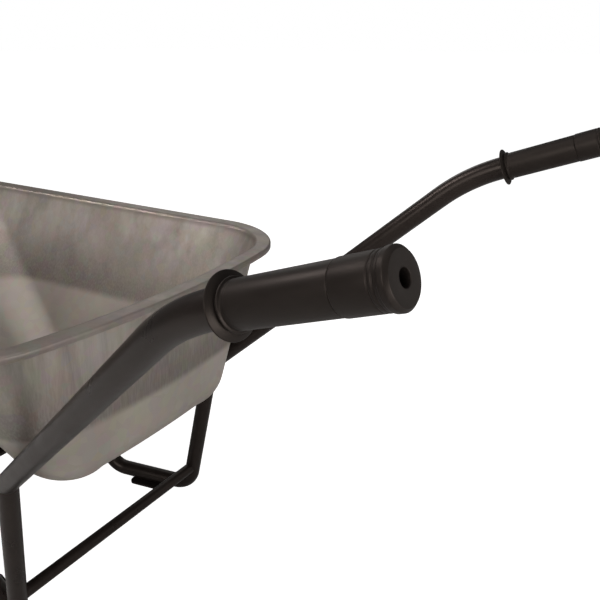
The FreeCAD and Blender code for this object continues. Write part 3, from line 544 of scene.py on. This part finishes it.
def floor_ring(inset, w):
    """Ring where the walls would meet the flat floor at height w."""
    toe = math.radians(SIDE_TOE)
    lip = RIM_LIP + inset
    side = lip - w * math.tan(math.radians(SIDE_SLOPE))
    rear = lip - w * math.tan(math.radians(REAR_SLOPE))
    front = TRAY_LENGTH - lip + w * math.tan(math.radians(FRONT_SLOPE))
    half_width = RIM_HALF_WIDTH + RIM_CORNER_U * math.tan(toe) - side / math.cos(toe)
    plan = plan_outline(half_width, rear, front, FLOOR_CORNER_R, FLOOR_REAR_R, FLOOR_FRONT_R)
    return np.column_stack([plan, np.full(len(plan), w)])


def blend_rings(start, corner, end, count, weight):
    """Rings of a smooth bend from start to end; weight 1 is a parabola, less is flatter."""
    rings = []
    for k in range(count + 1):
        t = k / count
        a, b, c = (1 - t) ** 2, 2 * weight * t * (1 - t), t * t
        rings.append((start * a + corner * b + end * c) / (a + b + c))
    return rings


def unit_rows(rows):
    return rows / np.linalg.norm(rows, axis=1, keepdims=True)


def floor_bend(top, corner):
    """Rings of the round bend between the walls and the floor, each part of an arc of the bend radius."""
    up_wall = unit_rows(top - corner)
    ahead = np.roll(corner, -1, axis=0) - np.roll(corner, 1, axis=0)
    inward = unit_rows(np.column_stack([ahead[:, 1], -ahead[:, 0], np.zeros(len(ahead))]))
    half = np.arccos(np.clip((up_wall * inward).sum(1), -1, 1)) / 2
    reach = (FLOOR_BEND_R / np.tan(half))[:, None]
    start, end = corner + up_wall * reach, corner + inward * reach
    return blend_rings(start, corner, end, BEND_STEPS, np.sin(half)[:, None])


def tray_rings():
    """Rings of the tray's upper skin, from the hem's lower edge over the rim and down to the flat floor."""
    lip_in = RIM_LIP + SHEET
    top, corner = rim_ring(lip_in, 0.0), floor_ring(SHEET, -TRAY_DEPTH)
    wall = unit_rows(corner - top)
    flat = lip_in - WALL_ROUND - HEM_ROUND
    rings = [rim_ring(HEM_TIP, -RIM_LIP_HEM), rim_ring(0.0, -RIM_LIP_HEM + HEM_TIP_LIFT)]
    rings += blend_rings(rim_ring(0.0, SHEET - HEM_ROUND), rim_ring(0.0, SHEET),
                         rim_ring(HEM_ROUND, SHEET), ROUND_STEPS, 0.8)
    rings += [rim_ring(HEM_ROUND + flat * k / 4, SHEET) for k in (1, 2, 3)]
    rings += blend_rings(rim_ring(lip_in - WALL_ROUND, SHEET), rim_ring(lip_in, SHEET),
                         top + wall * WALL_ROUND, ROUND_STEPS, 0.8)
    bend = floor_bend(top, corner)
    start = rings[-1]
    rings += [start + (bend[0] - start) * k / WALL_STEPS for k in range(1, WALL_STEPS)]
    rings += bend
    inward = unit_rows(bend[-1] - corner)
    rings.append(bend[-1] + inward * FLOOR_EDGE)
    return rings


def on_tray(points):
    """World points from tray coordinates (u forward, v left, w up)."""
    tilt = math.radians(TRAY_TILT)
    u, v, w = points.T
    x = TRAY_X + u * math.cos(tilt) - w * math.sin(tilt)
    z = TRAY_Z + u * math.sin(tilt) + w * math.cos(tilt)
    return np.column_stack([x, v, z])


def make_tray():
    rings = tray_rings()
    count = len(rings[0])
    verts = on_tray(np.vstack(rings)).tolist()
    flat_floor = tuple(range(len(verts) - count, len(verts)))
    faces = loops_to_faces(count, len(rings)) + [flat_floor]
    piece = mesh_piece("tray_shell", verts, faces, "galvanised_steel", sharp=60)
    thick = piece.modifiers.new("sheet", "SOLIDIFY")
    thick.thickness = SHEET
    thick.offset = SHEET_SIDE
    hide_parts("tray")


# ---- grips and tubes --------------------------------------------------------------------------------------

def grip_profile():
    """Closed (along, radius) outline of a grip, from the collar to the free end and back along the bore."""
    end = GRIP_LENGTH
    cap_line = CAP_LINE * end
    bore = TUBE_R + TUBE_SOCKET_GAP
    disc = [(0, bore), (0, COLLAR_R), (COLLAR_EDGE, COLLAR_R), (COLLAR_T, (COLLAR_R + NECK_R) / 2)]
    ridge = [(NECK_START, NECK_R), (RIDGE_START, RIDGE_R), (RIDGE_END, RIDGE_R),
             (RIDGE_END + CAP_STEP, NECK_R), (BODY_START, NECK_R)]
    body = [(BODY_START + CAP_STEP, GRIP_R), (cap_line - CAP_STEP, GRIP_R),
            (cap_line, GRIP_R - CAP_STEP), (cap_line + CAP_STEP, GRIP_CAP_R)]
    grooves = []
    for place in GROOVE_PLACES:
        middle = end - place
        grooves += [(middle - GROOVE_HALF, GRIP_CAP_R), (middle, GRIP_CAP_R - GROOVE),
                    (middle + GROOVE_HALF, GRIP_CAP_R)]
    cap = [(end - END_DISC - CAP_STEP, GRIP_CAP_R), (end - END_DISC, GRIP_END_R),
           (end - END_CHAMFER, GRIP_END_R), (end, GRIP_END_R - END_CHAMFER)]
    hole = [(end, GRIP_HOLE_R), (end - GRIP_END_WALL, GRIP_HOLE_R), (end - GRIP_END_WALL, bore)]
    return disc + ridge + body + grooves + cap + hole


def make_grip(name, side):
    profile = softened(grip_profile(), GRIP_SOFT_EDGE)
    verts, faces = revolved(profile, collar_point(side), -heading(GRIP_RISE, GRIP_TOE, side), GRIP_SEGMENTS)
    piece = mesh_piece(name + "_moulding", verts, faces, "grip_plastic")
    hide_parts(name)


def make_handle_tube(name, side):
    grip_axis = heading(GRIP_RISE, GRIP_TOE, side)
    free_end = collar_point(side) - grip_axis * (GRIP_LENGTH - GRIP_END_WALL - TUBE_END_GAP)
    front_end = lower_run(AXLE.x + TUBE_PAST_AXLE, side)
    route = rounded([free_end, handle_corner(side), lower_corner(side), front_end], HANDLE_BENDS)
    verts, faces = swept(route, TUBE_R, TUBE_SEGMENTS)
    piece = mesh_piece(name + "_bend", verts, faces, "black_paint")
    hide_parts(name)


def make_leg(name, side):
    level = FOOT_T + LEG_R
    points = [steep_run(LEG_TOP_X, side),
              Vector((LEG_HEEL_X, tube_y(LEG_HEEL_X, side), level)),
              Vector((LEG_TOE_X, tube_y(LEG_TOE_X, side), level)),
              lower_run(LEG_FRONT_X, side)]
    verts, faces = swept(rounded(points, [LEG_BEND_R, LEG_BEND_R]), LEG_R, BAR_SEGMENTS)
    piece = mesh_piece(name + "_loop", verts, faces, "black_paint")
    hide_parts(name)


def hoop_point(x, side):
    sideways = (TUBE_R + HOOP_GAP + HOOP_R) / math.cos(math.radians(TUBE_TOE))
    centre = lower_run(x, side)
    return Vector((centre.x, centre.y + side * sideways, centre.z))


def make_hoop():
    front_x = LENGTH / 2 - HOOP_R
    points = [hoop_point(HOOP_REAR_X, LEFT), hoop_point(front_x, LEFT),
              hoop_point(front_x, RIGHT), hoop_point(HOOP_REAR_X, RIGHT)]
    verts, faces = swept(rounded(points, [HOOP_BEND_R, HOOP_BEND_R]), HOOP_R, BAR_SEGMENTS)
    piece = mesh_piece("nose_hoop_bend", verts, faces, "black_paint")
    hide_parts("nose_hoop")


# ---- tyre -------------------------------------------------------------------------------------------------

def arc_through(start, middle, end, count):
    """Points on the circle through three (along, radius) points, from start to end."""
    (ax, ay), (bx, by), (cx, cy) = start, middle, end
    d = 2 * (ax * (by - cy) + bx * (cy - ay) + cx * (ay - by))
    a2, b2, c2 = ax * ax + ay * ay, bx * bx + by * by, cx * cx + cy * cy
    ox = (a2 * (by - cy) + b2 * (cy - ay) + c2 * (ay - by)) / d
    oy = (a2 * (cx - bx) + b2 * (ax - cx) + c2 * (bx - ax)) / d
    radius = math.hypot(ax - ox, ay - oy)
    first = math.atan2(ay - oy, ax - ox)
    last = math.atan2(cy - oy, cx - ox)
    sweep = (last - first + math.pi) % (2 * math.pi) - math.pi
    angles = [first + sweep * k / count for k in range(count + 1)]
    return [(ox + radius * math.cos(angle), oy + radius * math.sin(angle)) for angle in angles]


def tread_depth(along, angle):
    """How far the tread is cut back at a place: slanted lugs on both sides of a middle rib."""
    across = abs(along) / SHOULDER_Y
    if across < RIB_EDGE or across > TREAD_EDGE:
        return 0.0
    stagger = 0.5 if along <= 0 else 0.0
    phase = (angle / (2 * math.pi) * LUGS + stagger + across * LUG_SLANT) % 1.0
    cut = phase < LUG_GAP or across < GROOVE_EDGE
    return LUG_DEPTH if cut else 0.0


def tyre_outside():
    """(along, radius) points from one bead over the tread to the other."""
    wall = arc_through((LIP_Y, LIP_R), (TYRE_HALF, BULGE_R), (SHOULDER_Y, SHOULDER_R), 14)[1:]
    half = [(BEAD_Y, BEAD_R), (LIP_Y, LIP_R)] + wall
    tread = arc_through((SHOULDER_Y, SHOULDER_R), (0.0, TYRE_R), (-SHOULDER_Y, SHOULDER_R), 44)[1:-1]
    return half + tread + [(-along, radius) for along, radius in reversed(half)]


def tyre_inside():
    """(along, radius) points back from the far bead, under the tread, to the first."""
    shoulder = (SHOULDER_IN_Y, SHOULDER_IN_R)
    far_shoulder = (-SHOULDER_IN_Y, SHOULDER_IN_R)
    points = [(-BEAD_IN_Y, BEAD_R), (-LIP_IN_Y, LIP_R)]
    points += arc_through((-LIP_IN_Y, LIP_R), (-BULGE_IN_Y, BULGE_IN_R), far_shoulder, 8)[1:]
    points += arc_through(far_shoulder, (0.0, CROWN_IN_R), shoulder, 10)[1:]
    points += arc_through(shoulder, (BULGE_IN_Y, BULGE_IN_R), (LIP_IN_Y, LIP_R), 8)[1:]
    return points + [(BEAD_IN_Y, BEAD_R)]


def make_tyre():
    outside = tyre_outside()
    profile = outside + tyre_inside()
    segments = LUGS * LUG_SEGMENTS
    verts = []
    for index, (along, radius) in enumerate(profile):
        fade = min(1.0, (radius - TREAD_FADE_R) / TREAD_FADE)
        treaded = index < len(outside) and fade > 0
        for i in range(segments):
            angle = 2 * math.pi * i / segments
            r = radius - tread_depth(along, angle) * fade if treaded else radius
            verts.append((AXLE.x + r * math.cos(angle), along, AXLE.z + r * math.sin(angle)))
    faces = loops_to_faces(segments, len(profile), closed=True)
    piece = mesh_piece("tyre_casing", verts, faces, "tyre_rubber", body="wheel", sharp=28)
    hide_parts("tyre")


# ---- CAD nodes that stay ----------------------------------------------------------------------------------

def dress_cad_nodes():
    """Give the remaining CAD nodes their finish, smooth shading and worn edges."""
    slots = {part["node"]: part["material_slot"] for part in frame["record"]["subparts"]}
    for node, piece in frame["nodes"].items():
        finish = MATERIALS[slots[node]]
        mesh = piece.data
        if mesh.materials:
            for i in range(len(mesh.materials)):
                mesh.materials[i] = finish
        else:
            mesh.materials.append(finish)
        mesh.polygons.foreach_set("use_smooth", [True] * len(mesh.polygons))
        mesh.set_sharp_from_angle(angle=math.radians(30))
        width = EDGE_WEAR.get(node, COMMON_EDGE)
        if not width:
            continue
        edge = piece.modifiers.new("edge", "BEVEL")
        edge.width = width
        edge.segments = 2
        edge.limit_method = "ANGLE"
        edge.angle_limit = math.radians(35)


# ---- studio -----------------------------------------------------------------------------------------------

def make_floor():
    """Pale floor that reads as a bright studio sweep to the camera and still takes soft shadows."""
    mesh = bpy.data.meshes.new("floor")
    corners = [(x * FLOOR_HALF, y * FLOOR_HALF, 0) for x, y in ((-1, -1), (1, -1), (1, 1), (-1, 1))]
    mesh.from_pydata(corners, [], [(0, 1, 2, 3)])
    floor = bpy.data.objects.new("floor", mesh)
    bpy.context.scene.collection.objects.link(floor)
    f = Finish("floor_white", 0.8)
    ray = f.tree.nodes.new("ShaderNodeLightPath")
    lift = f.mapped(ray.outputs["Is Camera Ray"], 0.0, 1.0, 0.0, FLOOR_LIFT)
    f.link(lift, f.shader.inputs["Emission Strength"])
    f.shader.inputs["Emission Color"].default_value = WHITE
    mesh.materials.append(f.finish(f.ramp(f.noise(3.0, 2, 0.4), 0.58, 0.60)))


def area_light(name, place, aim, size, power, tint):
    light = bpy.data.lights.new(name, "AREA")
    light.shape = "RECTANGLE"
    light.size, light.size_y = size
    light.energy = power
    light.color = tint
    lamp = bpy.data.objects.new(name, light)
    bpy.context.scene.collection.objects.link(lamp)
    lamp.location = place
    lamp.rotation_euler = (Vector(aim) - Vector(place)).to_track_quat("-Z", "Y").to_euler()


def make_world():
    """Soft studio surround: white to the camera, and to all else dimmer at the horizon than overhead."""
    world = bpy.data.worlds.new("studio")
    bpy.context.scene.world = world
    world.use_nodes = True
    nodes, links = world.node_tree.nodes, world.node_tree.links
    background = nodes["Background"]
    coords = nodes.new("ShaderNodeTexCoord")
    split = nodes.new("ShaderNodeSeparateXYZ")
    ramp = nodes.new("ShaderNodeValToRGB")
    ray = nodes.new("ShaderNodeLightPath")
    pick = nodes.new("ShaderNodeMix")
    pick.data_type = "RGBA"
    low, high = ramp.color_ramp.elements
    low.position, high.position = 0.05, 0.95
    low.color, high.color = WORLD_HORIZON, WORLD_ZENITH
    links.new(coords.outputs["Generated"], split.inputs[0])
    links.new(split.outputs["Z"], ramp.inputs["Fac"])
    links.new(ray.outputs["Is Camera Ray"], pick.inputs[0])
    links.new(ramp.outputs["Color"], pick.inputs[6])
    pick.inputs[7].default_value = WHITE
    links.new(pick.outputs[2], background.inputs["Color"])


def make_camera():
    data = bpy.data.cameras.new("camera")
    data.sensor_width = 36.0
    data.lens = data.sensor_width * FOCAL_PER_WIDTH
    data.clip_start = 0.02
    camera = bpy.data.objects.new("camera", data)
    bpy.context.scene.collection.objects.link(camera)
    camera.location = CAMERA_PLACE
    yaw, pitch = math.radians(CAMERA_YAW), math.radians(CAMERA_PITCH)
    look = Vector((math.cos(yaw) * math.cos(pitch), math.sin(yaw) * math.cos(pitch), math.sin(pitch)))
    camera.rotation_euler = look.to_track_quat("-Z", "Y").to_euler()
    bpy.context.scene.camera = camera


# ---- build ------------------------------------------------------------------------------------------------

dress_cad_nodes()
make_tray()
for side, word in ((LEFT, "left"), (RIGHT, "right")):
    make_grip(word + "_grip", side)
    make_handle_tube(word + "_handle_tube", side)
    make_leg(word + "_leg", side)
make_hoop()
make_tyre()
make_floor()
area_light("overhead", (-0.2, 0.2, 2.6), (-0.1, -0.1, 0.4), (2.0, 2.0), 14, WARM)
area_light("left", (-0.3, 2.4, 1.5), (-0.1, -0.2, 0.5), (1.8, 1.4), 40, WARM)
area_light("behind", (-2.6, 0.5, 0.7), (-0.4, 0.0, 0.3), (1.6, 0.8), 33, WARM)
area_light("rear_right", (-1.9, -1.4, 0.9), (-0.6, 0.2, 0.6), (1.0, 0.8), 1.8, WARM)
area_light("front_left", (1.2, 0.5, 2.15), (-0.5, -0.28, 0.65), (0.5, 0.4), 14, ROSY)
area_light("back", (1.2, -2.0, 1.7), (-0.3, 0.1, 0.5), (1.4, 0.8), 5, WARM)
make_world()
make_camera()
bpy.context.scene.view_settings.view_transform = "Standard"
